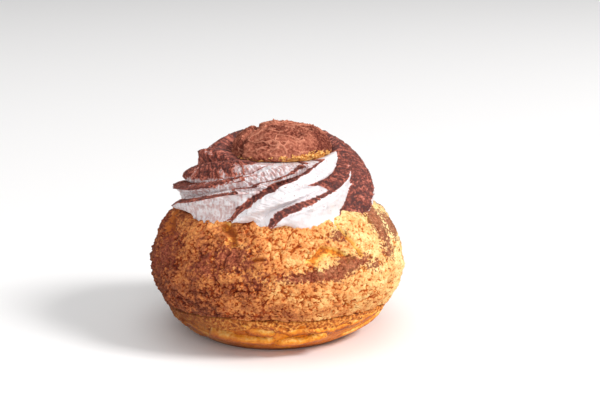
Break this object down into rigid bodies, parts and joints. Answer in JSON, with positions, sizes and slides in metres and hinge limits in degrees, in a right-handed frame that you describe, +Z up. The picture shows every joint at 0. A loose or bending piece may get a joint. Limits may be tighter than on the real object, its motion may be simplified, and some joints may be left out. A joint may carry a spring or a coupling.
{
  "type": "cream puff",
  "caption": "Choux bun under a cracked biscuit crust, filled with a tall turned swirl of piped cream dusted with cocoa, its sliced-off cap set back on top.",
  "frame": {"origin": "centre of the flat base on the surface that the puff stands on", "axes": "+Z up, +X to the right and -Y towards the viewer of the pictured side"},
  "size_m": [0.0796, 0.08, 0.0665],
  "materials": {
    "biscuit_crust": "baked biscuit crust, golden brown, crumbly and matt, with cocoa dust in patches and a glossier bare choux base",
    "whipped_cream": "whipped cream, white and satin, with cocoa on the upper side of its ridges",
    "cocoa_dusted_crust": "crinkled crust under a thick dusting of reddish brown cocoa"
  },
  "bodies": {
    "root": {"choux_bun": "biscuit_crust", "cream_swirl": "whipped_cream", "choux_cap": "cocoa_dusted_crust"}
  },
  "joints": []
}
